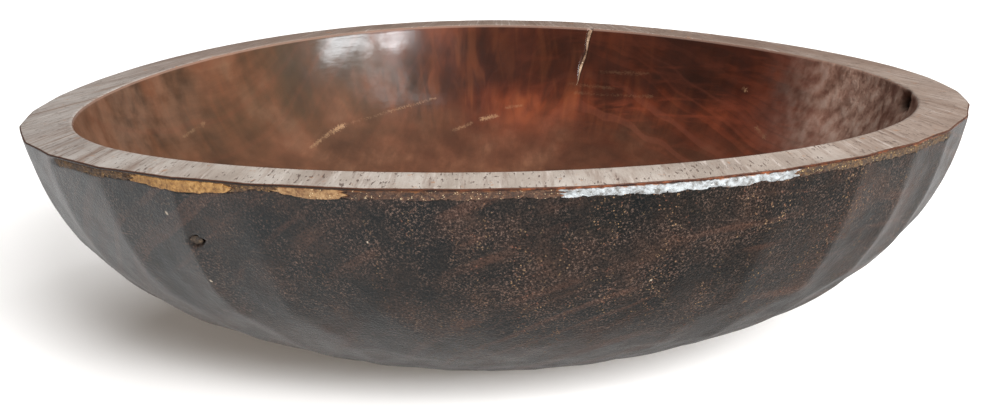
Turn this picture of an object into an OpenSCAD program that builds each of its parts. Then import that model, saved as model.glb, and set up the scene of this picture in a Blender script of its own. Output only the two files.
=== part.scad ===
// Carved wooden bowl: one adze-cut block of wood, and the small pieces of other
// stuff that fill its broken rim edge, its drying crack and its knots.
// Millimetres. +Z is up, -Y is the front and +X is the right-hand end.
// The origin is the middle of the flat base, where the bowl stands.

/* [Bowl] */
// Outside diameter at the rim
rim_d = 480; // [440:2:520]
// Mean height of the rim above the base
bowl_h = 128.5; // [116:0.5:142]
// Diameter of the flat that the bowl stands on
base_d = 130; // [110:2:150]
// Width of the rim's flat top at the front and back
rim_w = 21.4; // [19:0.2:25]
// Extra rim width at the two ends
rim_end_extra = 4.8; // [0:0.2:6]
// Thickness of the floor at the middle
floor_t = 22; // [18:1:26]

/* [Wall curve] */
// Share of the flare that the wall sweeps out before it starts to climb
low_reach = 0.52; // [0.45:0.01:0.6]
// Height of that sweep, as a share of the rim height
low_rise = 0.205; // [0.17:0.005:0.25]
// Share of the flare left for the upper wall
high_inset = 0.115; // [0.08:0.005:0.16]
// Height where the upper wall straightens, as a share of the rim height
high_rise = 0.345; // [0.3:0.005:0.4]
// Radius where the inside wall turns, as a share of the mouth's radius
inner_reach = 0.894; // [0.86:0.002:0.92]
// Height where the inside wall turns, as a share of the rim height
inner_turn = 0.405; // [0.36:0.005:0.45]
// Radius where the floor starts to lift, as a share of the mouth's radius
floor_reach = 0.593; // [0.5:0.005:0.65]

/* [Hand-carved shape] */
// Oval error of the plan
plan_oval = 2; // [0:0.1:4]
// Three-sided error of the plan
plan_three = 1.6; // [0:0.1:4]
// Squareness of the plan
plan_square = 2.4; // [0:0.1:4]
// Dip of the rim at the two ends, and rise at the front and back
rim_saddle = 4.8; // [0:0.1:8]
// Turn of that saddle about the vertical, in degrees
rim_saddle_turn = 6; // [0:1:20]
// Rise of the rim at the back
rim_tilt = 1.2; // [0:0.1:3]
// Short wave along the rim
rim_wave = 0.8; // [0:0.1:2]
// Rise of the rim's inner edge above its outer edge
lip_rise = 1.3; // [0:0.1:3]
// Front-to-back change of that rise
lip_tilt = 1.4; // [0:0.1:3]

/* [Adze facets] */
// Facets round the outside
facets = 34; // [28:1:36]
// Hollow of a facet below its two ridges
facet_depth = 1.7; // [0:0.1:2.4]
// Unevenness of the ridges, in degrees
facet_jitter = 0.8; // [0:0.1:1.5]
// Turn of the first ridge, in degrees
facet_turn = 1.2; // [0:0.1:10]
// How much the facets widen on one side and narrow on the other, in degrees
facet_drift = 1.6; // [0:0.1:3]

/* [Edge filler] */
// Width of the filled rebate along the rim's outer corner
filler_w = 2.8; // [1.5:0.1:4]
// Mean height of the filled rebate
filler_h = 4.9; // [4:0.1:6]
// Scallop of the rebate's lower border
filler_scallop = 0.9; // [0:0.1:1.4]

/* [Crack] */
// Where the crack leaves the rim, in degrees from the right-hand end
crack_a = 73.4; // [69:0.2:78]
// Turn of the crack by its lower end, in degrees
crack_turn = 1.8; // [0:0.1:2.4]
// Width of the crack
crack_w = 3; // [2:0.1:4]
// Drop of the crack below the rim
crack_h = 34; // [28:1:44]
// Depth of the crack into the wood
crack_depth = 7; // [3:0.5:9]

/* [Knots] */
// Place of the outside knot, in degrees from the right-hand end
wall_knot_a = 236; // [234:0.2:238]
// How far up the wall curve the outside knot sits
wall_knot_t = 0.87; // [0.8:0.01:0.9]
// Width of the outside knot
wall_knot_w = 5.4; // [4:0.1:7]
// Height of the outside knot
wall_knot_h = 4.4; // [3:0.1:6]
// Depth of the outside knot
wall_knot_depth = 3; // [1:0.1:5]
// Place of the inside knot, in degrees from the right-hand end
end_knot_a = 0.7; // [-1:0.1:2]
// Drop of the inside knot's centre below the rim
end_knot_drop = 7; // [6:0.2:9]
// Width of the inside knot
end_knot_w = 20; // [14:0.5:24]
// Height of the inside knot
end_knot_h = 9; // [6:0.2:10]
// Depth of the inside knot
end_knot_depth = 4.5; // [2:0.1:7]

/* [Hidden] */
rim_r = rim_d / 2;
base_r = base_d / 2;
mean_rim_w = rim_w + rim_end_extra / 2;
mouth_r = rim_r - mean_rim_w;
flare = rim_r - base_r;

// Control points of the outside and inside curves, as radius and height
wall_curve = [
    [base_r, 0],
    [base_r + low_reach * flare, low_rise * bowl_h],
    [rim_r - high_inset * flare, high_rise * bowl_h],
    [rim_r, bowl_h],
];
inner_curve = [
    [mouth_r, bowl_h],
    [inner_reach * mouth_r, inner_turn * bowl_h],
    [floor_reach * mouth_r, floor_t],
    [0, floor_t],
];

// Height gained per unit of each curve's parameter, where the curve meets the rim
wall_climb = 3 * (wall_curve[3][1] - wall_curve[2][1]);
inner_fall = 3 * (inner_curve[0][1] - inner_curve[1][1]);

// Directions of the plan's errors, in degrees
oval_turn = 90;
three_turn = 53;
// Number of waves of the filler's lower border, and its second, quicker ripple
scallop_waves = 11;
ripple_waves = 27;
ripple_share = 0.5;
// Golden-angle steps spread the ridges unevenly but repeatably
jitter_step = 137.5;
// The facets neither lead nor lag here
drift_from = 215;

// The facet hollow fades to nothing at the base and is full from here up
facet_full_t = 0.55;

// Grid: columns go round the bowl, rows go up the outside, over the rim and down
steps_per_facet = 4;
columns = facets * steps_per_facet;
low_rows = 6;
high_rows = 2;
crack_rows = 3;
floor_rows = 7;

// The filler fades in and out over this many degrees
filler_fade = 3;
filler_ends = [212, 334];

function lerp(a, b, t) = a + (b - a) * t;
function wrap(i) = (i + columns) % columns;
function gap(i, c) = (i - c + columns + columns / 2) % columns - columns / 2;
function bezier(p, t) =
    pow(1 - t, 3) * p[0] + 3 * pow(1 - t, 2) * t * p[1]
    + 3 * (1 - t) * t * t * p[2] + t * t * t * p[3];

// Outline of the rim
function plan_r(a) =
    rim_r + plan_oval * cos(2 * a + oval_turn)
    + plan_three * cos(3 * a - three_turn) + plan_square * sin(4 * a);
function rim_z(a) =
    bowl_h - rim_saddle * cos(2 * (a - rim_saddle_turn))
    + rim_tilt * sin(a) - rim_wave * sin(3 * a);
function lip_r(a) = plan_r(a) - mean_rim_w - rim_end_extra / 2 * cos(2 * a);
function lip_z(a) = rim_z(a) + lip_rise - lip_tilt * sin(a);

// Ridges between the facets, and the column angles that divide each facet
function ridge_a(k) =
    let (even_a = facet_turn + 360 / facets * k)
    even_a + facet_drift * sin(even_a - drift_from)
    + facet_jitter * sin(jitter_step * ((k + facets) % facets));
function plain_a(i) =
    lerp(
        ridge_a(floor(i / steps_per_facet)),
        ridge_a(floor(i / steps_per_facet) + 1),
        i % steps_per_facet / steps_per_facet
    );
function turn_between(a, b) = (a - b + 540) % 360 - 180;
function miss(i, a) = abs(turn_between(plain_a(i), a));
function nearest_column(a) =
    let (least = min([for (i = [0:columns - 1]) miss(i, a)]))
    [for (i = [0:columns - 1]) if (miss(i, a) == least) i][0];

crack_i = nearest_column(crack_a);
wall_knot_i = nearest_column(wall_knot_a);
end_knot_i = nearest_column(end_knot_a);

// The three columns at each crack or knot are pulled in to its width
function pulled_a(i, c, a, half_w, r) = a + gap(i, c) * half_w / r * 180 / PI;
function column_a(i, crack_share) =
    abs(gap(i, crack_i)) <= 1
        ? pulled_a(i, crack_i, crack_a + crack_turn * crack_share, crack_w / 2, mouth_r)
    : abs(gap(i, wall_knot_i)) <= 1
        ? pulled_a(i, wall_knot_i, wall_knot_a, wall_knot_w / 2, rim_r)
    : abs(gap(i, end_knot_i)) <= 1
        ? pulled_a(i, end_knot_i, end_knot_a, end_knot_w / 2, mouth_r)
    : plain_a(i);

// Rows of the outside wall, as curve parameters below the filler
wall_knot_half_t = wall_knot_h / 2 / wall_climb;
filler_low_t = 1 - (filler_h + filler_scallop * (1 + ripple_share)) / wall_climb;
wall_ts = concat(
    [for (k = [0:low_rows - 1]) k / low_rows * (wall_knot_t - wall_knot_half_t)],
    [for (s = [-1:1]) wall_knot_t + s * wall_knot_half_t],
    [for (k = [1:high_rows]) lerp(wall_knot_t + wall_knot_half_t, filler_low_t,
                                  k / (high_rows + 1))]
);

// Rows of the inside wall, as curve parameters from the rim to the floor's centre
end_knot_half_u = end_knot_h / 2 / inner_fall;
end_knot_u = end_knot_drop / inner_fall;
crack_u = crack_h / inner_fall;
inner_us = concat(
    [0],
    [for (s = [-1:1]) end_knot_u + s * end_knot_half_u],
    [for (k = [1:crack_rows]) lerp(end_knot_u + end_knot_half_u, crack_u, k / crack_rows)],
    [for (k = [1:floor_rows]) lerp(crack_u, 1, k / (floor_rows + 1))]
);

// Row numbers
wall_knot_j = low_rows + 1;
border_j = len(wall_ts);
edge_j = border_j + 2;
lip_j = edge_j + 2;
end_knot_j = lip_j + 2;
crack_end_j = lip_j + 3 + crack_rows;
rows = lip_j + len(inner_us);

// How far an angle lies across facet k, or across its neighbour if it falls outside
function facet_share(a, k) =
    let (f = (a - ridge_a(k)) / (ridge_a(k + 1) - ridge_a(k)))
    f < 0 ? facet_share(a, k - 1)
    : f > 1 ? facet_share(a, k + 1)
    : f;

// Facet hollow: nothing at a ridge, most half way to the next
function hollow(i, t) =
    let (f = facet_share(column_a(i, 0), floor(i / steps_per_facet)))
    facet_depth * 4 * f * (1 - f) * min(1, t / facet_full_t);

function on_wall(i, t) =
    let (
        a = column_a(i, 0),
        p = bezier(wall_curve, t),
        share = p[1] / bowl_h,
        r = p[0] * lerp(1, plan_r(a) / rim_r, share) - hollow(i, t)
    )
    [r, a, p[1] * rim_z(a) / bowl_h];

function on_inside(i, u) =
    let (
        a = column_a(i, min(1, u / crack_u)),
        p = bezier(inner_curve, u),
        share = (p[1] - floor_t) / (bowl_h - floor_t)
    )
    [p[0] * lerp(1, lip_r(a) / mouth_r, share), a, lerp(floor_t, lip_z(a), share)];

function border_h(a) =
    filler_h + filler_scallop * (sin(scallop_waves * a) + ripple_share * sin(ripple_waves * a));

// The wood's skin before anything is cut away, as radius, angle and height
function skin(i, j) =
    j < border_j ? on_wall(i, wall_ts[j])
    : j <= edge_j ? on_wall(i, 1 - border_h(column_a(i, 0)) / wall_climb * (edge_j - j) / 2)
    : j < lip_j ? (on_wall(i, 1) + on_inside(i, 0)) / 2
    : on_inside(i, inner_us[j - lip_j]);

// How far a point of the skin is cut towards the axis, or away from it if negative
function filler_share(a) =
    max(0, min(1, (a - filler_ends[0]) / filler_fade, (filler_ends[1] - a) / filler_fade));
function cut(i, j) =
    j == edge_j || j == edge_j - 1 ? filler_w * filler_share(column_a(i, 0))
    : i == wall_knot_i && j == wall_knot_j ? wall_knot_depth
    : i == end_knot_i && j == end_knot_j ? -end_knot_depth
    : i == crack_i && j >= lip_j && j < crack_end_j
        ? -crack_depth * sqrt((crack_end_j - j) / (crack_end_j - lip_j))
    : 0;

function place(p) = [p[0] * cos(p[1]), p[0] * sin(p[1]), p[2]];
function skin_point(i, j) = place(skin(wrap(i), j));
function cut_point(i, j) = place(skin(wrap(i), j) - [cut(wrap(i), j), 0, 0]);

// One grid cell as two triangles that face out of the wood
function cell(a, b, c, d) = [[a, d, c], [a, c, b]];

// The block of wood, with the rebate, the crack and the knot pits cut into its skin
module bowl_body() {
    base_centre = columns * rows;
    floor_centre = base_centre + 1;
    points = concat(
        [for (i = [0:columns - 1]) for (j = [0:rows - 1]) cut_point(i, j)],
        [[0, 0, 0], [0, 0, floor_t]]
    );
    faces = concat(
        [
            for (i = [0:columns - 1])
            for (j = [0:rows - 2])
            for (f = cell(
                i * rows + j, wrap(i + 1) * rows + j,
                wrap(i + 1) * rows + j + 1, i * rows + j + 1
            )) f
        ],
        [for (i = [0:columns - 1]) [i * rows, wrap(i + 1) * rows, base_centre]],
        [for (i = [0:columns - 1])
            [wrap(i + 1) * rows + rows - 1, i * rows + rows - 1, floor_centre]]
    );
    color("#4a2c20") polyhedron(points, faces);
}

// Whatever fills the cut between the wood and its skin, over one patch of the grid.
// Triangles with nothing cut under them are left out, so the piece tapers to an edge.
module inlay(i0, i1, j0, j1) {
    tall = j1 - j0 + 1;
    half = (i1 - i0 + 1) * tall;
    at = [for (i = [i0:i1]) for (j = [j0:j1]) [i, j]];
    deep = [for (p = at) cut(wrap(p[0]), p[1]) != 0];
    points = concat(
        [for (p = at) skin_point(p[0], p[1])],
        [for (p = at) cut_point(p[0], p[1])]
    );
    cells = [
        for (i = [0:i1 - i0 - 1])
        for (j = [0:tall - 2])
        for (f = cell(
            i * tall + j, (i + 1) * tall + j,
            (i + 1) * tall + j + 1, i * tall + j + 1
        ))
        if (deep[f[0]] || deep[f[1]] || deep[f[2]]) f
    ];
    rim_edges = concat(
        [for (j = [0:tall - 2]) [j + 1, j]],
        [for (j = [0:tall - 2]) [half - tall + j, half - tall + j + 1]],
        [for (i = [0:i1 - i0 - 1]) [i * tall, (i + 1) * tall]],
        [for (i = [0:i1 - i0 - 1]) [(i + 1) * tall + tall - 1, i * tall + tall - 1]]
    );
    polyhedron(points, concat(
        cells,
        [for (f = cells) [f[0] + half, f[2] + half, f[1] + half]],
        [for (e = rim_edges) if (deep[e[1]]) [e[0], e[1], e[1] + half]],
        [for (e = rim_edges) if (deep[e[0]]) [e[0], e[1] + half, e[0] + half]]
    ));
}

// One stretch of filler in the rebate, between two angles
module edge_filler(from_a, to_a) {
    inlay(nearest_column(from_a), nearest_column(to_a), border_j, edge_j);
}

module edge_filler_grit_left() {
    color("#4b3826") edge_filler(filler_ends[0], 228.6);
}

module edge_filler_ochre_left() {
    color("#b3823d") edge_filler(228.6, 242.3);
}

module edge_filler_grit_seam() {
    color("#3d2c20") edge_filler(242.3, 247.5);
}

module edge_filler_ochre_centre() {
    color("#a97c48") edge_filler(247.5, 255.5);
}

module edge_filler_grit_centre() {
    color("#6e3a24") edge_filler(255.5, 276.3);
}

module edge_filler_white() {
    color("#c9c2b8") edge_filler(276.3, 300.6);
}

module edge_filler_grit_right() {
    color("#6f5330") edge_filler(300.6, filler_ends[1]);
}

module crack_filler() {
    color("#b99b78") inlay(crack_i - 1, crack_i + 1, lip_j, crack_end_j);
}

module wall_knot() {
    color("#3a2a1c")
        inlay(wall_knot_i - 1, wall_knot_i + 1, wall_knot_j - 1, wall_knot_j + 1);
}

module end_knot() {
    color("#2c1d16")
        inlay(end_knot_i - 1, end_knot_i + 1, end_knot_j - 1, end_knot_j + 1);
}

bowl_body();
edge_filler_grit_left();
edge_filler_ochre_left();
edge_filler_grit_seam();
edge_filler_ochre_centre();
edge_filler_grit_centre();
edge_filler_white();
edge_filler_grit_right();
crack_filler();
wall_knot();
end_knot();
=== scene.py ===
"""Looks for a carved wooden bowl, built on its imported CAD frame.

The wood is one dense mesh whose outside, rim and inside have their own materials. The filler
along the rim's broken edge, the putty in the crack and the two knots are pieces of their own.
Lengths here are metres unless a name ends in _mm, and angles are radians unless it ends in _deg.
Angles go round the bowl from its right-hand end, +X, by way of the back, +Y.
"""
import math

import bpy
import numpy as np
from mathutils import Matrix, Vector


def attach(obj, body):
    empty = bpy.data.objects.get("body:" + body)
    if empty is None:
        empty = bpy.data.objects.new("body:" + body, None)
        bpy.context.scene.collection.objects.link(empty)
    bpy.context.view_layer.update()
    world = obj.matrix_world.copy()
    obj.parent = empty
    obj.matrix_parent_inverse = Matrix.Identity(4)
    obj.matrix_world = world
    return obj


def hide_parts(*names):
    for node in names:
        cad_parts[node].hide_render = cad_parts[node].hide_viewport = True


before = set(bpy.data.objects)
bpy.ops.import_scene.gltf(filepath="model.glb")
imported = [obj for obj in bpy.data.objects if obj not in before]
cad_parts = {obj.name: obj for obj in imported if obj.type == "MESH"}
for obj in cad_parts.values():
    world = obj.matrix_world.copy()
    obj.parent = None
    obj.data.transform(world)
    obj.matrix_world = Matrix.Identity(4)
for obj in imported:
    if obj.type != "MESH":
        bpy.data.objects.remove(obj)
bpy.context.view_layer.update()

MM = 0.001

# ---------------------------------------------------------------- the bowl's dimensions, in mm
RIM_R = 240.0
RIM_H = 128.5
BASE_R = 65.0
RIM_W = 23.8
RIM_W_SWING = 2.4
FLOOR_T = 22.0
MOUTH_R = RIM_R - RIM_W
FLARE = RIM_R - BASE_R
WALL_CURVE = (
    (BASE_R, 0.0),
    (BASE_R + 0.52 * FLARE, 0.205 * RIM_H),
    (RIM_R - 0.115 * FLARE, 0.345 * RIM_H),
    (RIM_R, RIM_H),
)
INNER_CURVE = (
    (MOUTH_R, RIM_H),
    (0.894 * MOUTH_R, 0.405 * RIM_H),
    (0.593 * MOUTH_R, FLOOR_T),
    (0.0, FLOOR_T),
)
# Height gained per unit of each curve's parameter, where it meets the rim
WALL_CLIMB = 3 * (WALL_CURVE[3][1] - WALL_CURVE[2][1])
INNER_FALL = 3 * (INNER_CURVE[0][1] - INNER_CURVE[1][1])

FACETS = 34
FACET_DEPTH = 1.9
RIDGE_SOFTNESS = 0.10
FACET_TURN_DEG = 1.2
FACET_DRIFT_DEG = 1.6
DRIFT_FROM_DEG = 215.0
FACET_JITTER_DEG = 0.8
GOLDEN_DEG = 137.5

FILLER_ENDS_DEG = (212.0, 334.0)
CRACK_DEG = 73.4
CRACK_TURN_DEG = 1.8
CRACK_H = 34.0
WALL_KNOT_DEG = 236.0
WALL_KNOT_T = 0.87
END_KNOT_DEG = 0.7
END_KNOT_DROP = 7.0


# ---------------------------------------------------------------- numbers and noise
def cos_deg(a):
    return np.cos(np.radians(a))


def sin_deg(a):
    return np.sin(np.radians(a))


def mix(a, b, t):
    return a + (b - a) * t


def smooth(low, high, x):
    """0 below low, 1 above high, with soft ends; high may be less than low."""
    t = np.clip((x - low) / (high - low), 0.0, 1.0)
    return t * t * (3 - 2 * t)


def bump_at(x, centre, half_width):
    """A soft hill of height 1 at centre that is gone at half_width either side."""
    t = np.clip(1 - ((x - centre) / half_width) ** 2, 0.0, 1.0)
    return t * t


def turn_deg(a, centre):
    """The signed angle from centre to a, between -180 and 180."""
    return (a - centre + 180.0) % 360.0 - 180.0


def hashed(ix, iy, iz, seed):
    """A repeatable random number from -1 to 1 for each whole-number point."""
    with np.errstate(over="ignore"):
        h = (ix * 374761393 + iy * 668265263 + iz * 1274126177 + seed * 974634777) & 0xFFFFFFFF
        h = ((h ^ (h >> 13)) * 1274126177) & 0xFFFFFFFF
        h = ((h ^ (h >> 16)) * 2246822519) & 0xFFFFFFFF
    return ((h ^ (h >> 15)) & 0xFFFFFF) / float(0x7FFFFF) - 1.0


def noise(x, y, z, size, seed=0):
    """Smooth noise from -1 to 1 whose lumps are about size across."""
    p = [np.asarray(c, dtype=np.float64) / size for c in np.broadcast_arrays(x, y, z)]
    cell = [np.floor(c).astype(np.int64) for c in p]
    f = [c - i for c, i in zip(p, cell)]
    f = [t * t * t * (t * (6 * t - 15) + 10) for t in f]
    total = 0.0
    for dx in (0, 1):
        for dy in (0, 1):
            for dz in (0, 1):
                weight = (f[0] if dx else 1 - f[0]) * (f[1] if dy else 1 - f[1])
                weight = weight * (f[2] if dz else 1 - f[2])
                total = total + weight * hashed(cell[0] + dx, cell[1] + dy, cell[2] + dz, seed)
    return total


def layered(x, y, z, size, seed=0, layers=3):
    """Noise with finer, weaker noise on top."""
    total = 0.0
    for k in range(layers):
        total = total + noise(x, y, z, size / 2 ** k, seed + k) / 2 ** k
    return total


def graded(count, peaks, low=0.0, high=1.0):
    """count values from low to high, closer together near each (centre, half width, weight)."""
    fine = np.linspace(low, high, 8001)
    density = np.ones_like(fine)
    for centre, half_width, weight in peaks:
        density += weight * np.exp(-((fine - centre) / half_width) ** 2)
    total = np.concatenate(([0.0], np.cumsum((density[1:] + density[:-1]) / 2)))
    return np.interp(np.linspace(0, total[-1], count), total, fine)


# ---------------------------------------------------------------- the bowl's shape, in mm
def bezier(points, t):
    p = [np.array(q) for q in points]
    t = np.asarray(t, dtype=np.float64)[..., None]
    return ((1 - t) ** 3 * p[0] + 3 * (1 - t) ** 2 * t * p[1]
            + 3 * (1 - t) * t * t * p[2] + t ** 3 * p[3])


def plan_r(a):
    return (RIM_R + 2.0 * cos_deg(2 * a + 90) + 1.6 * cos_deg(3 * a - 53)
            + 2.4 * sin_deg(4 * a))


def rim_z(a):
    return RIM_H - 4.8 * cos_deg(2 * (a - 6)) + 1.2 * sin_deg(a) - 0.8 * sin_deg(3 * a)


def lip_r(a):
    return plan_r(a) - RIM_W - RIM_W_SWING * cos_deg(2 * a)


def lip_z(a):
    return rim_z(a) + 1.3 - 1.4 * sin_deg(a)


def wall_at(a, t):
    """Radius and height of the outside, uncut, at angle a and curve parameter t."""
    p = bezier(WALL_CURVE, t)
    share = p[..., 1] / RIM_H
    return p[..., 0] * mix(1.0, plan_r(a) / RIM_R, share), p[..., 1] * rim_z(a) / RIM_H


def inside_at(a, u):
    """Radius and height of the inside at angle a and curve parameter u, 0 at the rim."""
    p = bezier(INNER_CURVE, u)
    share = (p[..., 1] - FLOOR_T) / (RIM_H - FLOOR_T)
    return p[..., 0] * mix(1.0, lip_r(a) / MOUTH_R, share), mix(FLOOR_T, lip_z(a), share)


def ridge_deg(k):
    even = FACET_TURN_DEG + 360.0 / FACETS * k
    return (even + FACET_DRIFT_DEG * sin_deg(even - DRIFT_FROM_DEG)
            + FACET_JITTER_DEG * sin_deg(GOLDEN_DEG * (k % FACETS)))


def adze_cuts(a, t):
    """How deep the adze has cut below the ridges at each point of the outside.

    Each stroke leaves a shallow scoop, and where scoops meet the deeper one wins. The top row
    runs out over the rim, and the shorter rows below it are staggered.
    """
    # middle and half length along the wall curve, stagger in facets, share of the full depth
    stroke_rows = ((0.93, 0.34, 0.0, 1.0), (0.50, 0.20, 0.42, 0.8), (0.26, 0.17, 0.1, 0.55))
    depth = np.zeros(np.broadcast(a, t).shape)
    for row, (middle, half_long, stagger, share) in enumerate(stroke_rows):
        for k in range(FACETS):
            left, right = ridge_deg(k + stagger), ridge_deg(k + 1 + stagger)
            luck = sin_deg(GOLDEN_DEG * (k * 3 + row * 7))
            half_wide = (right - left) / 2 * (1.04 + 0.05 * luck)
            across = turn_deg(a, (left + right) / 2) / half_wide
            along = (t - middle - 0.03 * luck) / (half_long * (1 + 0.1 * luck))
            scoop = FACET_DEPTH * share * (1 + 0.16 * luck) * (1 - across ** 2 - along ** 4)
            depth = RIDGE_SOFTNESS * np.logaddexp(depth / RIDGE_SOFTNESS, scoop / RIDGE_SOFTNESS)
    worn = mix(1.0, 0.55, smooth(0.82, 1.0, t)) * (1 - 0.62 * bump_at(turn_deg(a, 272.0), 0, 46.0))
    return depth * worn * smooth(0.06, 0.2, t)


def filler_border(a):
    """Height of the filler's lower border below the rim."""
    patch = bump_at(a, 237.5, 10.0) * 1.7 + bump_at(a, 251.0, 6.0) * 0.7
    thin = bump_at(a, 246.0, 4.5) * 2.0 + bump_at(a, 304.0, 3.0) * 0.8
    ragged = 0.45 * noise(a * 4.2, 0, 0, 7.0, 31) + 0.3 * noise(a * 4.2, 5, 0, 2.6, 32)
    return 4.7 + patch - thin + ragged


def filler_strength(a):
    return (smooth(FILLER_ENDS_DEG[0], FILLER_ENDS_DEG[0] + 4, a)
            * smooth(FILLER_ENDS_DEG[1], FILLER_ENDS_DEG[1] - 6, a))


# ---------------------------------------------------------------- meshes
def finish_mesh(name, points_mm, faces, materials, node, material_ids=None):
    """A smooth-shaded piece that rides on the bowl and stands for one CAD node."""
    mesh = bpy.data.meshes.new(name)
    mesh.from_pydata((np.asarray(points_mm) * MM).tolist(), [], [list(f) for f in faces])
    for material in materials:
        mesh.materials.append(material)
    if material_ids is not None:
        mesh.polygons.foreach_set("material_index", np.asarray(material_ids, dtype=np.int32))
    mesh.polygons.foreach_set("use_smooth", np.ones(len(mesh.polygons), dtype=bool))
    mesh.update()
    piece = bpy.data.objects.new(name, mesh)
    bpy.context.collection.objects.link(piece)
    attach(piece, "root")
    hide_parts(node)
    return piece


def add_attribute(piece, name, values):
    layer = piece.data.attributes.new(name, "FLOAT", "POINT")
    layer.data.foreach_set("value", np.asarray(values, dtype=np.float32).ravel())


def from_polar(r, a, z):
    return np.stack(np.broadcast_arrays(r * cos_deg(a), r * sin_deg(a), z), axis=-1)


def loop_faces(rings, count, offset=0):
    """Quads between closed rings of count points each."""
    faces = []
    for i in range(rings - 1):
        for j in range(count):
            k = (j + 1) % count
            low, high = offset + i * count, offset + (i + 1) * count
            faces.append((low + j, low + k, high + k, high + j))
    return faces


def closed_tube(name, rings, material, node):
    """A closed piece through an array of rings, with a fan over each end."""
    count = rings.shape[1]
    last = (len(rings) - 1) * count
    middles = (rings[:1].mean(axis=1), rings[-1:].mean(axis=1))
    points = np.concatenate([rings.reshape(-1, 3), *middles])
    start, end = len(points) - 2, len(points) - 1
    faces = loop_faces(len(rings), count)
    faces += [(start, (j + 1) % count, j) for j in range(count)]
    faces += [(end, last + j, last + (j + 1) % count) for j in range(count)]
    return finish_mesh(name, points, faces, [material], node)


# ---------------------------------------------------------------- the wood
CORNER = 0.9
LIP_CORNER = 1.8
COLUMNS = 520
KNOT_PIT = (4.5, 3.7, 2.1)
END_PIT = (12.5, 5.6, 5.2)
CRACK_HALF_W = 1.25
CRACK_CUT = 1.6
REBATE_CUT = 1.3

# Short pale scuffs on the inside, each with its start and end as (angle, curve parameter), its
# half width in mm and its strength
SCRATCHES = (
    ((153.0, 0.178), (146.5, 0.16), 0.8, 0.16),
    ((127.0, 0.306), (121.5, 0.268), 0.9, 0.26),
    ((121.3, 0.268), (118.8, 0.254), 1.3, 0.48),
    ((118.3, 0.252), (109.0, 0.225), 0.7, 0.16),
    ((109.0, 0.225), (100.5, 0.197), 0.7, 0.26),
    ((98.0, 0.302), (94.5, 0.28), 0.9, 0.22),
    ((92.6, 0.27), (89.8, 0.258), 1.1, 0.38),
    ((88.0, 0.233), (85.0, 0.225), 0.8, 0.14),
    ((76.5, 0.155), (68.5, 0.16), 0.9, 0.07),
    ((75.5, 0.18), (61.0, 0.172), 0.9, 0.08),
    ((71.0, 0.115), (62.5, 0.108), 0.9, 0.06),
    ((38.5, 0.215), (35.5, 0.24), 1.0, 0.24),
    ((44.0, 0.113), (43.4, 0.117), 0.9, 0.50),
    ((300.0, 0.2), (312.0, 0.215), 0.8, 0.25),
)
# Small pale dots on the outside: angle, curve parameter and half width in mm
WALL_MARKS = ((233.0, 0.927, 0.8), (235.4, 0.765, 0.6), (257.0, 0.90, 0.5), (286.3, 0.79, 0.5))


def crack_deg_at(drop):
    """Angle of the crack at a depth below the rim, with its small wander."""
    return CRACK_DEG + CRACK_TURN_DEG * drop / CRACK_H + 0.14 * np.sin(drop / 3.1) * (drop > 0)


def crack_half_w(drop):
    taper = smooth(CRACK_H + 3, CRACK_H - 16, drop)
    return CRACK_HALF_W * taper * (0.75 + 0.3 * np.sin(drop / 4.0 + 1.2))


def wall_surface(a, t, extra_cut=0.0):
    """Points of the finished outside, extra_cut deeper than its skin."""
    r, z = wall_at(a, t)
    near = 1e-3
    p0, p1 = bezier(WALL_CURVE, t - near), bezier(WALL_CURVE, t + near)
    d = p1 - p0
    length = np.hypot(d[..., 0], d[..., 1])
    out_r, out_z = d[..., 1] / length, -d[..., 0] / length
    x, y = r * cos_deg(a), r * sin_deg(a)
    ripple = 0.16 * layered(x, y, z * 1.4, 17.0, 3) * smooth(0.02, 0.15, t)
    depth = adze_cuts(a, t) + ripple + extra_cut
    return from_polar(r - depth * out_r, a, z - depth * out_z)


def inside_surface(a, u, extra_cut=0.0):
    """Points of the finished inside, extra_cut deeper into the wood."""
    r, z = inside_at(a, u)
    near = 1e-3
    p0 = bezier(INNER_CURVE, np.clip(u - near, 0, 1))
    p1 = bezier(INNER_CURVE, np.clip(u + near, 0, 1))
    d = p1 - p0
    length = np.hypot(d[..., 0], d[..., 1])
    out_r, out_z = d[..., 1] / length, -d[..., 0] / length
    x, y = r * cos_deg(a), r * sin_deg(a)
    tool = 0.55 * layered(x, y * 0.6, z * 1.2, 62.0, 11, 2) + 0.13 * layered(x, y, z, 15.0, 14, 2)
    lumpy = np.exp(-(turn_deg(a, 4.0) / 14.0) ** 2) * smooth(0.2, 0.02, u)
    tool = tool + lumpy * (0.9 * layered(x, y, z, 11.0, 17, 3) + 0.4)
    depth = tool * smooth(1.0, 0.85, u) * smooth(-0.002, 0.02, u) + extra_cut
    return from_polar(r - depth * out_r, a, z - depth * out_z)


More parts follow.
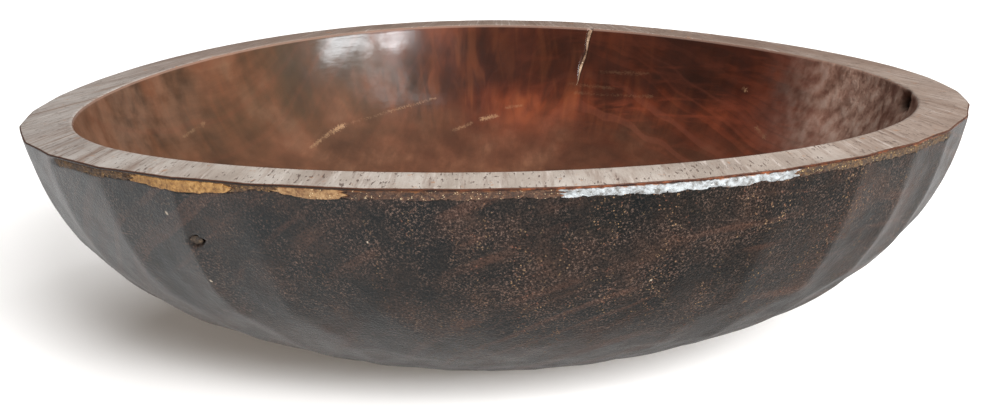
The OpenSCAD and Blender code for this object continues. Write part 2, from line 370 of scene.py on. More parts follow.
def bowl_wood(outside, rim, inside):
    """The block of wood as one closed mesh, from the base, up, over the rim and down."""
    a = graded(COLUMNS + 1, ((CRACK_DEG + 1, 1.9, 5), (WALL_KNOT_DEG, 1.5, 4)), 0, 360)[:-1]
    a = a[None, :]

    def shown(values):
        return np.asarray(values)[:, None]

    # Base: a shallow hollow inside a flat ring
    base_share = shown(np.linspace(0.06, 0.94, 8))
    base_r = base_share * BASE_R
    dish = 0.5 * smooth(0.9, 0.5, base_share) * (1 + 0.4 * noise(base_r, a / 20, 0, 20.0, 41))
    base = from_polar(base_r * np.ones_like(a), a, dish * np.ones_like(a))

    # Outside wall, with the pit of the knot and the rebate under the filler cut into it
    t = shown(graded(82, ((1.0, 0.03, 7), (WALL_KNOT_T, 0.02, 4)), 0, 1 - CORNER / WALL_CLIMB))
    drop = (1 - t) * WALL_CLIMB
    across = np.radians(turn_deg(a, WALL_KNOT_DEG)) * RIM_R / KNOT_PIT[0]
    up = (t - WALL_KNOT_T) * WALL_CLIMB / KNOT_PIT[1]
    off_knot = np.hypot(across, up) + 0.15 * noise(a * 4.2, t * WALL_CLIMB, 0, 2.0, 43)
    pit = KNOT_PIT[2] * smooth(1.05, 0.7, off_knot)
    rebate = (REBATE_CUT * filler_strength(a) * smooth(0.9, 1.5, drop)
              * smooth(filler_border(a) - 0.5, filler_border(a) - 1.1, drop))
    wall = wall_surface(a, t, pit + rebate)
    wall[0, :, 2] = 0.0

    # Rim top, slightly crowned and uneven, with the crack's notch in its inner edge
    skin_out = wall_surface(a, np.ones((1, 1)))
    skin_in = inside_surface(a, np.zeros((1, 1)))
    ring_w = np.linalg.norm(skin_out - skin_in, axis=-1)
    v = shown(graded(16, ((0.0, 0.08, 2), (1.0, 0.15, 3))))
    v = mix(CORNER / ring_w, 1 - LIP_CORNER / ring_w, v)
    top = mix(skin_out, skin_in, v[..., None])
    crack_gap = np.radians(turn_deg(a, CRACK_DEG)) * MOUTH_R
    notch = 1.1 * bump_at(crack_gap, 0.4, 1.9) * smooth(0.72, 0.97, v)
    wave = 0.35 * noise(top[..., 0], top[..., 1], 0, 46.0, 51)
    wave = wave + 0.12 * noise(top[..., 0], top[..., 1] * 0.4, 0, 7.0, 52)
    top[..., 2] += wave * smooth(0.0, 0.25, v) * smooth(1.0, 0.8, v) - notch

    # Inside, with the crack and the hollow round the end knot cut into it
    u = shown(graded(62, ((0.0, 0.03, 3), (0.2, 0.16, 1.2)), LIP_CORNER / INNER_FALL, 0.985))
    fall = u * INNER_FALL
    crack_off = np.abs(np.radians(turn_deg(a, crack_deg_at(fall))) * MOUTH_R)
    crack = CRACK_CUT * smooth(crack_half_w(fall) + 0.35, crack_half_w(fall) - 0.5, crack_off)
    crack = crack * (crack_half_w(fall) > 0.1)
    hollow_x = np.radians(turn_deg(a, END_KNOT_DEG)) * MOUTH_R / END_PIT[0]
    hollow_y = (fall - END_KNOT_DROP) / END_PIT[1]
    off_hollow = np.hypot(hollow_x, hollow_y) + 0.22 * noise(a * 3.8, fall, 0, 5.0, 61)
    hollow = END_PIT[2] * smooth(1.15, 0.35, off_hollow)
    dish_wall = inside_surface(a, u, crack + hollow)

    def corner(before, edge, after):
        """Three rows that round an edge between two rows."""
        rows = []
        for s in (0.25, 0.5, 0.75):
            rows.append((1 - s) ** 2 * before + 2 * s * (1 - s) * edge + s * s * after)
        return np.stack(rows)

    outer_corner = corner(wall[-1], skin_out[0], top[0])
    notch_row = np.zeros_like(skin_in[0])
    notch_row[..., 2] = -notch[-1]
    inner_corner = corner(top[-1], skin_in[0] + notch_row, dish_wall[0])
    parts = (base, wall, outer_corner, top, inner_corner, dish_wall)
    grid = np.concatenate(parts)
    rows, count = grid.shape[:2]

    starts = np.cumsum([0] + [len(p) for p in parts])
    middle_out = starts[2] + 1
    middle_in = starts[4] + 1
    points = np.concatenate([grid.reshape(-1, 3), [[0, 0, 0.5], [0, 0, FLOOR_T]]])
    faces = loop_faces(rows, count)
    ids = np.repeat(np.where(np.arange(rows - 1) < middle_out, 0,
                             np.where(np.arange(rows - 1) < middle_in, 1, 2)), count)
    bottom, centre = len(points) - 2, len(points) - 1
    last = (rows - 1) * count
    faces += [(bottom, (j + 1) % count, j) for j in range(count)]
    faces += [(centre, last + j, last + (j + 1) % count) for j in range(count)]
    ids = np.concatenate([ids, np.zeros(count), np.full(count, 2)])
    piece = finish_mesh("bowl", points, faces, [outside, rim, inside], "bowl_body",
                        ids)

    # How near each point is to the rim's two edges, the floor and the holes; the holes' mask
    # carries painted shade
    def spread(part_values):
        pairs = zip(part_values, parts)
        rows_of = [np.broadcast_to(value, part.shape[:2]) for value, part in pairs]
        return np.concatenate([np.concatenate(rows_of).ravel(), [0.0, 0.0]])

    edge = spread((0, np.exp(-drop / 1.1), 1, np.exp(-v * ring_w / 1.0), 0, 0))
    lip = spread((0, 0, 0, np.exp(-(1 - v) * ring_w / 1.6), 1, np.exp(-fall / 1.6)))
    low = spread((1, smooth(0.6, 0.1, t), 0, 0, 0, smooth(0.15, 0.45, u)))
    recess_shade = spread((0, smooth(1.2, 0.8, off_knot), 0, smooth(0.4, 1.1, notch), 0,
                   np.maximum(smooth(1.1, 0.5, off_hollow), crack / CRACK_CUT)))
    for name, values in (("edge", edge), ("lip", lip), ("low", low), ("recess_shade", recess_shade)):
        add_attribute(piece, name, values)
    return piece


# ---------------------------------------------------------------- pieces set into the wood
FILLER_STEP_DEG = 0.2
FILLER_TOP_DROP = 0.75


def ragged_end(border_deg, s):
    """How far a border between two fillers wanders, in degrees, for each share s of its height."""
    lean = 2.4 * noise(border_deg, 0, 0, 5.0, 56) * (s - 0.5)
    coarse = 0.9 * noise(s * 9, border_deg, 0, 1.5, 57)
    return lean + coarse + 0.35 * noise(s * 9, border_deg, 4, 0.5, 58)


def edge_filler(node, material, from_deg, to_deg, proud, lump, lump_size, seed):
    """One stretch of the lumpy band in the rebate. Neighbours share one ragged border."""
    count = int((to_deg - from_deg) / FILLER_STEP_DEG) + 2
    a = np.linspace(from_deg - 0.12, to_deg + 0.12, count)[:, None]
    s = np.linspace(0, 1, 15)[None, :]
    reach = min(2.5, (to_deg - from_deg) / 3)
    near_from = np.exp(-((a - from_deg) / reach) ** 2)
    near_to = np.exp(-((to_deg - a) / reach) ** 2)
    ends = smooth(from_deg - 0.12, from_deg + 0.4, a) * smooth(to_deg + 0.12, to_deg - 0.4, a)
    a_ragged = a + ragged_end(from_deg, s) * near_from + ragged_end(to_deg, s) * near_to
    low = filler_border(a_ragged) + 0.5
    drop = mix(FILLER_TOP_DROP, low, s)
    x, y = np.radians(a_ragged) * RIM_R, drop * 1.3
    lumps = lump * layered(x, y, 0, lump_size, seed, 3)
    middle = 1 - np.abs(2 * s - 1) ** 5
    strength = filler_strength(a_ragged) * ends
    rise = (proud + lumps) * middle * strength - 0.55 * (1 - middle * strength)
    front = wall_surface(a_ragged, 1 - drop / WALL_CLIMB, -rise)
    back_s = np.array([[0.85, 0.5, 0.15]])
    back_drop = mix(FILLER_TOP_DROP, low[:, :1], back_s)
    back = wall_surface(a + 0 * back_s, 1 - back_drop / WALL_CLIMB, 1.0)
    rings = np.concatenate([front, back], axis=1)
    piece = closed_tube(node + "_shown", rings, material, node)
    rimmed = np.maximum(np.abs(2 * s - 1) ** 3, 1 - ends + 0 * s)
    rimmed = np.concatenate([rimmed, np.ones((count, 3))], axis=1)
    add_attribute(piece, "border", np.append(rimmed.ravel(), [1.0, 1.0]))
    return piece


def crack_putty(material):
    """A thin uneven bead of putty down the crack, flush with the wall."""
    drop = np.linspace(1.2, CRACK_H + 2.5, 90)[:, None]
    half_w = np.maximum(crack_half_w(drop) * (1 + 0.16 * noise(drop, 0, 0, 3.0, 71)), 0.12)
    s = np.linspace(-1, 1, 9)[None, :]
    u = drop / INNER_FALL
    wander = 0.35 * noise(drop, 3, 0, 6.0, 72)
    a = crack_deg_at(drop) + np.degrees((s * half_w + wander * (drop > 3)) / MOUTH_R)
    proud = 0.22 * (1 - s ** 4) - 0.35 * s ** 4 + 0.12 * noise(drop, s * 2, 0, 1.6, 73)
    front = inside_surface(a, u, -proud)
    back = inside_surface(a[:, ::-1][:, 2:7:2], u, 1.1)
    rings = np.concatenate([front, back], axis=1)
    return closed_tube("crack_putty", rings, material, "crack_filler")


def knot_core(name, node, material, surface, to_param, centre_deg, radius, size, sunk, seed):
    """A rough lens of end grain in the bottom of a pit, closed behind."""
    half_w, half_h, thick = size
    turns = np.linspace(0, 360, 40, endpoint=False)[None, :]
    reach = np.concatenate([np.linspace(0.06, 1, 9), np.linspace(0.9, 0.1, 4)])[:, None]
    is_back = np.arange(13)[:, None] > 8
    ragged = 1 + 0.14 * noise(3 * cos_deg(turns), 3 * sin_deg(turns), seed, 1.7, seed)
    x = half_w * reach * cos_deg(turns) * ragged
    y = half_h * reach * sin_deg(turns) * ragged
    dome = sunk - 0.5 * thick * (1 - reach ** 2)
    dome = dome + 0.35 * noise(x, y, 0, 1.5, seed + 1) * (1 - reach)
    depth = np.where(is_back, sunk + 0.7 * thick * (1 - reach ** 2) + 0.05, dome)
    rings = surface(centre_deg + np.degrees(x / radius), to_param(y), depth)
    return closed_tube(name, rings, material, node)


# ---------------------------------------------------------------- materials
class Look:
    """A procedural material. Lengths given to it are in mm, and colours are linear."""

    def __init__(self, name):
        self.material = bpy.data.materials.new(name)
        self.material.use_nodes = True
        self.tree = self.material.node_tree
        self.tree.nodes.clear()
        self.bsdf = self.tree.nodes.new("ShaderNodeBsdfPrincipled")
        out = self.tree.nodes.new("ShaderNodeOutputMaterial")
        self.tree.links.new(self.bsdf.outputs["BSDF"], out.inputs["Surface"])
        where = self.node("ShaderNodeTexCoord").outputs["Object"]
        # Everything below works in millimetres of the bowl's own frame
        self.at = self.vector("SCALE", where, scale=1 / MM)
        axes = self.node("ShaderNodeSeparateXYZ", {0: self.at})
        self.x, self.y, self.z = axes.outputs

    def feed(self, socket, value):
        if isinstance(value, bpy.types.NodeSocket):
            self.tree.links.new(value, socket)
        elif value is not None:
            socket.default_value = value

    def node(self, kind, inputs=None, **settings):
        made = self.tree.nodes.new(kind)
        for key, value in settings.items():
            setattr(made, key, value)
        for key, value in (inputs or {}).items():
            self.feed(made.inputs[key], value)
        return made

    def vector(self, operation, a, b=None, scale=None):
        made = self.node("ShaderNodeVectorMath", {0: a}, operation=operation)
        self.feed(made.inputs[1], b)
        if scale is not None:
            made.inputs["Scale"].default_value = scale
        return made.outputs["Value" if operation in ("LENGTH", "DOT_PRODUCT") else "Vector"]

    def math(self, operation, a, b=None, c=None, clamp=False):
        made = self.node("ShaderNodeMath", {0: a}, operation=operation, use_clamp=clamp)
        self.feed(made.inputs[1], b)
        self.feed(made.inputs[2], c)
        return made.outputs[0]

    def product(self, *values):
        total = values[0]
        for value in values[1:]:
            total = self.math("MULTIPLY", total, value)
        return total

    def affine(self, value, gain, offset, clamp=False):
        return self.math("MULTIPLY_ADD", value, gain, offset, clamp)

    def joined(self, x, y, z):
        return self.node("ShaderNodeCombineXYZ", {0: x, 1: y, 2: z}).outputs[0]

    def span(self, value, low, high, to_low=0.0, to_high=1.0):
        """value's range from low to high, made into a range from to_low to to_high, softly."""
        made = self.node("ShaderNodeMapRange", {0: value}, interpolation_type="SMOOTHSTEP")
        made.inputs["From Min"].default_value = low
        made.inputs["From Max"].default_value = high
        made.inputs["To Min"].default_value = to_low
        made.inputs["To Max"].default_value = to_high
        return made.outputs[0]

    def noise(self, size, detail=3.0, rough=0.55, at=None, stretch=None, warp=0.0):
        """Noise with lumps of about size mm, drawn out by stretch along each axis."""
        at = self.at if at is None else at
        scale = [1 / size / s for s in (stretch or (1, 1, 1))]
        placed = self.vector("MULTIPLY", at, scale)
        made = self.node("ShaderNodeTexNoise", {"Vector": placed})
        made.inputs["Scale"].default_value = 1.0
        made.inputs["Detail"].default_value = detail
        made.inputs["Roughness"].default_value = rough
        made.inputs["Distortion"].default_value = warp
        return made.outputs["Fac"]

    def cells(self, size):
        """Distance to the nearest of many points about size mm apart."""
        placed = self.vector("SCALE", self.at, scale=1 / size)
        made = self.node("ShaderNodeTexVoronoi", {"Vector": placed})
        made.inputs["Scale"].default_value = 1.0
        return made.outputs["Distance"]

    def ramp(self, value, *stops):
        made = self.node("ShaderNodeValToRGB", {0: value})
        elements = made.color_ramp.elements
        while len(elements) < len(stops):
            elements.new(0.5)
        for element, (place, colour) in zip(elements, stops):
            element.position = place
            element.color = (*colour, 1.0)
        return made.outputs["Color"]

    def blend(self, share, a, b):
        made = self.node("ShaderNodeMix", data_type="RGBA")
        self.feed(made.inputs[0], share)
        for socket, value in ((made.inputs[6], a), (made.inputs[7], b)):
            self.feed(socket, (*value, 1.0) if isinstance(value, tuple) else value)
        return made.outputs[2]

    def paint(self, colour, *shares):
        """Lay a colour over what is there, as strongly as the product of the shares."""
        self.colour = self.blend(self.product(*shares), self.colour, colour)

    def attribute(self, name):
        return self.node("ShaderNodeAttribute", attribute_name=name).outputs["Fac"]

    def strokes(self, segments, ragged=0.8):
        """A mask of thin strokes. Each has two end points, a half width and a strength."""
        near = self.vector("SCALE", self.at, scale=0.2)
        wobble = self.node("ShaderNodeTexNoise", {"Vector": near})
        shake = self.vector("SUBTRACT", wobble.outputs["Color"], (0.5, 0.5, 0.5))
        at = self.vector("ADD", self.at, self.vector("SCALE", shake, scale=5.0 * ragged))
        total = 0.0
        for start, end, half_w, strength in segments:
            along = Vector(end) - Vector(start)
            length_sq = max(along.length_squared, 0.01)
            from_start = self.vector("SUBTRACT", at, tuple(start))
            share = self.vector("DOT_PRODUCT", from_start, tuple(along / length_sq))
            share = self.math("MULTIPLY", share, 1.0, clamp=True)
            nearest = self.node("ShaderNodeVectorMath", {0: tuple(along), "Scale": share},
                                operation="SCALE")
            away = self.vector("LENGTH", self.vector("SUBTRACT", from_start, nearest.outputs[0]))
            mark = self.span(away, half_w * 1.5, half_w * 0.4, 0.0, strength)
            total = self.math("MAXIMUM", mark, total)
        return total

    def around(self):
        """Position on the wall: mm around the bowl, mm up, and a slow third axis."""
        angle = self.math("ARCTAN2", self.y, self.x)
        third = self.affine(self.z, 0.11, 57.3)
        third = self.affine(self.y, 0.07, third)
        return self.joined(self.product(angle, RIM_R), self.math("ADD", self.z, 17.0), third)

    def bump(self, height, depth, strength=1.0, under=None):
        """A bump whose height of 0 to 1 stands for depth mm."""
        made = self.node("ShaderNodeBump", {"Height": height})
        made.inputs["Strength"].default_value = strength
        made.inputs["Distance"].default_value = depth * MM
        self.feed(made.inputs["Normal"], under)
        return made.outputs["Normal"]

    def finish(self, roughness, normal, **constants):
        self.feed(self.bsdf.inputs["Base Color"], self.colour)
        self.feed(self.bsdf.inputs["Roughness"], roughness)
        self.feed(self.bsdf.inputs["Normal"], normal)
        for name, value in constants.items():
            self.bsdf.inputs[name.replace("_", " ")].default_value = value
        return self.material

    # The log: its fibres run front to back and fan out from a point behind the bowl
    FAN_FOCUS = 430.0
    PITH = (95.0, -40.0)

    def log_axes(self):
        """Position in the log: across its fibres, along them, and up."""
        closeness = self.math("SUBTRACT", self.FAN_FOCUS, self.y)
        spread = self.math("DIVIDE", self.FAN_FOCUS, closeness)
        return self.joined(self.math("MULTIPLY", self.x, spread), self.y, self.z)

    def rings(self, ring_size, wobble=14.0, detail=3.0):
        """Growth rings as irregular light and dark bands about ring_size apart."""
        log = self.log_axes()
        parts = self.node("ShaderNodeSeparateXYZ", {0: log}).outputs
        drift = self.math("SUBTRACT", self.noise(95.0, 2.0, at=log), 0.5)
        drift_2 = self.math("SUBTRACT", self.noise(60.0, 2.0, at=log, stretch=(1, 2, 1)), 0.5)
        across = self.math("SUBTRACT", parts[0], self.PITH[0])
        across = self.affine(drift, wobble * 3, across)
        up = self.math("SUBTRACT", parts[2], self.PITH[1])
        up = self.affine(drift_2, wobble * 3, up)
        reach = self.vector("LENGTH", self.joined(across, 0.0, up))
        made = self.node("ShaderNodeTexNoise", {"W": self.math("DIVIDE", reach, ring_size)},
                         noise_dimensions="1D")
        made.inputs["Scale"].default_value = 1.0
        made.inputs["Detail"].default_value = detail
        return made.outputs["Fac"]


def outside_wood():
    """Near-black patina with worn red-brown places, clinging tan grains, a satin sheen and a
    painted warm reflection low on the left.
    """
    look = Look("outside_wood")
    wall = look.around()
    blotch = look.noise(24.0, 5.0, 0.62)
    look.colour = look.ramp(blotch, (0.32, (0.0034, 0.0038, 0.0037)),
                            (0.48, (0.0075, 0.006, 0.005)), (0.60, (0.014, 0.0088, 0.0066)),
                            (0.74, (0.026, 0.014, 0.0094)))

    # Painted reflection: warm brown on the low left-hand end, for the shadowed floor that it
    # mirrors
    cloud = look.span(look.noise(18.0, 4.0, 0.65), 0.36, 0.58)
    look.paint((0.06, 0.033, 0.02), look.span(look.x, -40.0, -150.0),
               look.span(look.z, 75.0, 30.0), cloud, 0.7)

    # End-grain arcs
    arcs = look.span(look.rings(7.0, 6.0), 0.50, 0.66)
    arc_places = look.span(look.noise(60.0, 2.0), 0.42, 0.58)
    look.paint((0.042, 0.02, 0.013), arcs, arc_places, 0.55)

    # Fine mottle
    mottle = look.noise(0.95, 3.0, 0.78)
    fresh = look.span(look.noise(19.0, 4.0, 0.62), 0.38, 0.60, 0.18, 1.0)
    look.paint((0.09, 0.057, 0.043), look.span(mottle, 0.53, 0.65), fresh, 0.80)
    look.paint((0.0018, 0.0016, 0.0014), look.span(mottle, 0.49, 0.38, 0.0, 0.85))

    # Tan grains that cling in upright drifts, mostly on the right and centre of the front
    side = look.span(look.x, -110.0, 60.0, 0.30, 1.0)
    drift = look.noise(17.0, 4.0, 0.65, at=wall, stretch=(0.8, 2.6, 1), warp=0.3)
    region = look.product(look.span(drift, 0.44, 0.64), side,
                          look.span(look.z, 12.0, 45.0, 0.25, 1.0))
    tight = look.span(look.cells(1.15), 0.42, 0.20)
    picked = look.span(look.noise(1.9, 1.0), 0.50, 0.60)
    grains = look.product(tight, picked, region)
    tint = look.ramp(look.noise(5.0, 1.0), (0.40, (0.15, 0.062, 0.04)),
                     (0.60, (0.26, 0.165, 0.085)))
    look.paint(tint, grains, 0.6)
    # Fine pale scratches round the wall, and a few single marks
    scratch = look.noise(1.0, 2.0, 0.5, at=wall, stretch=(12, 0.8, 1), warp=0.5)
    look.paint((0.18, 0.115, 0.085), look.span(scratch, 0.66, 0.76),
               look.span(look.noise(40.0), 0.50, 0.64), 0.30)
    marks = []
    for a_deg, t, half_w in WALL_MARKS:
        place = wall_surface(np.array([[a_deg]]), np.array([[t]]))[0, 0]
        marks.append((place, place + 0.01, half_w, 0.9))
    look.paint((0.30, 0.25, 0.19), look.strokes(marks, 0.3))

    # Painted shade darkens the knot's pit. The rim's broken corner is bare red-brown wood, with
    # painted shade on it towards the left
    look.paint((0.006, 0.004, 0.003), look.attribute("recess_shade"), 0.85)
    edge = look.attribute("edge")
    broken_edge_and_shade = look.ramp(look.noise(7.0, 4.0, 0.65), (0.38, (0.012, 0.006, 0.005)),
                       (0.5, (0.038, 0.014, 0.008)), (0.66, (0.12, 0.036, 0.014)))
    # Near-black towards the left: painted shade where the rim's edge overhangs the inset filler;
    # the red-brown is the bare broken edge
    broken_edge_and_shade = look.blend(look.span(look.x, 20.0, -60.0, 0.0, 0.9), broken_edge_and_shade, (0.012, 0.007, 0.005))
    look.paint(broken_edge_and_shade, look.span(edge, 0.35, 0.6))

    # Roughness varies in patches and rises on the clinging grains; the sheen is weaker low down
    roughness = look.affine(look.noise(12.0, 4.0, 0.6), 0.26, 0.24)
    roughness = look.affine(grains, 0.35, roughness, clamp=True)
    pebble = look.noise(1.3, 3.0, 0.65)
    streak = look.noise(2.6, 3.0, 0.6, at=wall, stretch=(7, 1, 1))
    normal = look.bump(look.noise(10.0, 3.0), 0.45, 0.6)
    normal = look.bump(streak, 0.10, 0.5, normal)
    normal = look.bump(pebble, 0.28, 0.9, normal)
    normal = look.bump(grains, 0.20, 0.7, normal)
    # Most of the wax is left at the left-hand end
    gloss = look.product(look.span(look.x, -190.0, 120.0, 0.48, 0.08),
                         look.span(look.z, 5.0, 80.0, 0.16, 1.0))
    look.feed(look.bsdf.inputs["Specular IOR Level"], gloss)
    return look.finish(roughness, normal, IOR=1.35, Specular_Tint=(0.84, 0.94, 1.0, 1.0))


def rim_wood():
    """Bare weathered wood, pinkish grey, with fanned grain and fine dark pores."""
    look = Look("rim_wood")
    log = look.log_axes()
    tone = look.noise(26.0, 4.0, 0.6, at=log, stretch=(1, 2.5, 1))
    look.colour = look.ramp(tone, (0.32, (0.165, 0.134, 0.112)), (0.5, (0.245, 0.207, 0.177)),
                            (0.7, (0.325, 0.292, 0.262)))
    # Greyer to the left, browner to the right and at the back
    look.paint((0.265, 0.248, 0.236), look.span(look.x, -110.0, -220.0), 0.5)
    look.paint((0.215, 0.15, 0.117), look.span(look.x, 60.0, 220.0), 0.6)
    look.paint((0.115, 0.07, 0.051), look.span(look.y, 20.0, 190.0), 0.7)

    # Broad grain: darker bands that follow the fanned fibres
    bands = look.noise(5.5, 4.0, 0.65, at=log, stretch=(1, 18, 3), warp=0.3)
    ends = look.span(look.math("ABSOLUTE", look.x), 90.0, 190.0, 0.50, 0.85)
    look.paint((0.15, 0.104, 0.08), look.span(bands, 0.50, 0.68), ends)
    hairs = look.noise(1.3, 3.0, 0.6, at=log, stretch=(1, 24, 3))
    look.paint((0.12, 0.082, 0.064), look.span(hairs, 0.53, 0.70), ends)
    pale = look.span(look.noise(2.1, 3.0, 0.6, at=log, stretch=(1, 18, 3)), 0.55, 0.74, 0.0, 0.5)
    look.paint((0.44, 0.39, 0.355), pale)

    # Open pores: short dark dashes
    dashes = look.noise(0.75, 1.0, 0.5, at=log, stretch=(1, 6, 2))
    pores = look.product(look.span(dashes, 0.62, 0.71), look.span(look.noise(14.0), 0.36, 0.52))
    look.paint((0.06, 0.038, 0.03), pores, 0.8)
    stains = look.span(look.noise(6.0, 3.0, 0.6), 0.64, 0.72, 0.0, 0.55)
    look.paint((0.24, 0.105, 0.042), stains)
    mottle = look.noise(1.0, 3.0, 0.7)
    look.paint((0.13, 0.092, 0.07), look.span(mottle, 0.52, 0.70, 0.0, 0.28))

    edge = look.attribute("edge")
    ragged = look.math("ADD", edge, look.affine(look.noise(2.4, 2.0), 0.7, -0.35))
    look.paint((0.055, 0.024, 0.014), look.span(ragged, 0.42, 0.62))
    # Painted shade in the notch at the crack
    look.paint((0.05, 0.036, 0.028), look.attribute("recess_shade"))

    roughness = look.affine(bands, 0.3, 0.42)
    normal = look.bump(look.math("SUBTRACT", 1.0, hairs), 0.22, 0.6)
    normal = look.bump(look.math("SUBTRACT", 1.0, pores), 0.25, 0.7, normal)
    normal = look.bump(look.noise(6.0, 3.0), 0.3, 0.5, normal)
    return look.finish(roughness, normal)


def inside_wood():
    """Oiled red-brown wood, blotched and streaked, dull on the floor and at the knotty end."""
    look = Look("inside_wood")
    wall = look.around()
    side = look.math("SUBTRACT", look.x, 55.0)
    side = look.affine(look.noise(60.0, 2.0), 110.0, side)
    blotch = look.noise(42.0, 3.0, 0.58)
    olive = look.ramp(blotch, (0.34, (0.028, 0.0155, 0.0088)), (0.47, (0.052, 0.024, 0.0125)),
                      (0.58, (0.078, 0.032, 0.0165)), (0.70, (0.108, 0.052, 0.029)))
    red = look.ramp(blotch, (0.34, (0.017, 0.0042, 0.002)), (0.48, (0.038, 0.0078, 0.0032)),
                    (0.60, (0.07, 0.014, 0.0054)), (0.72, (0.128, 0.029, 0.01)))
    look.colour = look.blend(look.span(side, -110.0, 10.0), olive, red)
    # Paler towards both ends, and a dark olive shade high on the left
    cloud = look.span(look.noise(22.0, 4.0, 0.6), 0.30, 0.62)
    look.paint((0.15, 0.08, 0.05), look.span(look.x, -150.0, -208.0), cloud, 0.5)
    front = look.span(look.y, 150.0, 70.0, 0.04, 1.0)
    cloud = look.span(look.noise(30.0, 4.0, 0.6), 0.30, 0.60)
    look.paint((0.21, 0.074, 0.05), look.span(look.x, 70.0, 175.0), cloud, front, 0.70)
    cloud = look.span(look.noise(28.0, 4.0, 0.6), 0.36, 0.60, 0.35, 0.95)
    look.paint((0.03, 0.019, 0.01), look.span(look.x, -178.0, -130.0),
               look.span(look.x, -30.0, -90.0), look.span(look.z, 66.0, 98.0), cloud, 0.75)

    # Growth rings, clearest to the right of centre
    rings = look.rings(9.0, 12.0, 3.0)
    clear = look.span(look.x, -30.0, 130.0, 0.10, 0.42)
    look.paint((0.014, 0.005, 0.0032), look.span(rings, 0.52, 0.38), clear)
    look.paint((0.1, 0.027, 0.015), look.span(rings, 0.54, 0.70), clear)

    # Upright streaks of orange and near-black, strongest at the centre of the back
    streak = look.noise(9.0, 2.0, 0.5, at=wall, stretch=(1, 4, 1), warp=0.6)
    off_centre = look.math("ABSOLUTE", look.math("SUBTRACT", look.x, 20.0))
    low = look.attribute("low")
    upper = look.math("SUBTRACT", 1.0, low)
    reach = look.product(look.span(off_centre, 120.0, 30.0, 0.22, 1.0),
                         look.span(look.z, 60.0, 92.0, 0.25, 1.0), upper)
    look.paint((0.175, 0.05, 0.017), look.span(streak, 0.46, 0.74, 0.0, 0.32), reach)
    look.paint((0.012, 0.005, 0.003), look.span(streak, 0.50, 0.28, 0.0, 0.45), reach)

    # Faint red strokes round the wall
    brush = look.noise(5.0, 3.0, 0.55, at=wall, stretch=(7, 1, 1), warp=0.6)
    look.paint((0.125, 0.027, 0.012), look.span(brush, 0.48, 0.74, 0.0, 0.5),
               look.span(look.x, -20.0, 90.0), upper)

    # Painted shade: darker in a band below the rim, right of centre
    look.paint((0.012, 0.0042, 0.0024), look.span(look.z, 84.0, 108.0),
               look.span(look.x, -50.0, 10.0), look.span(look.x, 190.0, 120.0), 0.68)

    # The low wall and floor are drier, paler and browner, above a soft tide line
    dry = look.ramp(look.noise(26.0, 4.0, 0.62), (0.36, (0.04, 0.0165, 0.0088)),
                    (0.50, (0.07, 0.0285, 0.0145)), (0.66, (0.108, 0.048, 0.0255)))
    floor_grain = look.noise(6.0, 3.0, 0.6, at=look.log_axes(), stretch=(1, 5, 1))
    dry = look.blend(look.span(floor_grain, 0.40, 0.64, 0.4, 0.0), dry, (0.046, 0.02, 0.011))
    look.paint(dry, low, look.span(look.x, 10.0, 130.0, 0.85, 0.5))
    fibres = look.noise(1.2, 3.0, 0.6, at=look.log_axes(), stretch=(1, 14, 1))
    look.paint((0.026, 0.012, 0.0075), look.span(fibres, 0.52, 0.72, 0.0, 0.12))

    # The knotty right-hand end is dull grey-brown, and a dry bloom spreads from it. Its colour is
    # made much paler as painted light, for a wall that faces away from the lamps
    ragged = look.span(look.noise(16.0, 4.0, 0.6), 0.34, 0.60, 0.62, 1.0)
    end = look.product(look.span(look.x, 148.0, 205.0), look.span(look.z, 44.0, 88.0), ragged,
                       front)
    dull = look.ramp(look.noise(8.0, 3.0, 0.55), (0.32, (0.23, 0.124, 0.09)),
                     (0.50, (0.42, 0.26, 0.195)), (0.68, (0.54, 0.38, 0.305)))
    look.paint(dull, end, 0.88)

    lines = []
    for (a_0, u_0), (a_1, u_1), half_w, strength in SCRATCHES:
        ends = inside_surface(np.array([[a_0], [a_1]]), np.array([[u_0], [u_1]]))[:, 0]
        lines.append((ends[0], ends[1], half_w, strength))
    broken_up = look.span(look.noise(7.0, 4.0, 0.65), 0.30, 0.60)
    scratched = look.product(look.strokes(lines, 1.0), broken_up)
    look.paint((0.30, 0.185, 0.1), scratched)
    # Pale along the inner edge: the rim's pale wood carried over the worn edge, with a painted
    # highlight on it
    look.paint((0.20, 0.125, 0.095), look.span(look.attribute("lip"), 0.35, 0.9, 0.0, 0.55))
    # Painted shade in the hollow round the end knot and down the crack
    look.paint((0.01, 0.006, 0.004), look.attribute("recess_shade"))

    roughness = look.affine(look.noise(20.0, 4.0, 0.6), 0.20, 0.32)
    roughness = look.affine(low, 0.15, roughness)
    roughness = look.affine(scratched, 0.3, roughness)
    roughness = look.affine(end, 0.25, roughness, clamp=True)
    # A coat of oil, polished below the rim and worn away lower down and at the knotty end
    oil = look.product(look.span(look.z, 66.0, 100.0), look.span(end, 0.5, 0.1),
                       look.span(look.noise(15.0, 4.0, 0.62), 0.30, 0.58, 0.35, 1.0))

    # Fine ripples round the wall draw its reflections out up and down
    ripple = look.noise(2.2, 3.0, 0.6, at=wall, stretch=(14, 1, 1))
    normal = look.bump(look.noise(26.0, 3.0), 0.7, 0.4)
    normal = look.bump(look.product(ripple, upper), 0.055, 0.8, normal)
    normal = look.bump(fibres, 0.04, 0.5, normal)
    normal = look.bump(look.product(end, look.noise(8.0, 3.0, 0.6)), 1.1, 0.7, normal)
    look.feed(look.bsdf.inputs["Coat Weight"], oil)
    look.feed(look.bsdf.inputs["Coat Normal"], normal)
    return look.finish(roughness, normal, Coat_Roughness=0.17, Specular_IOR_Level=0.22)


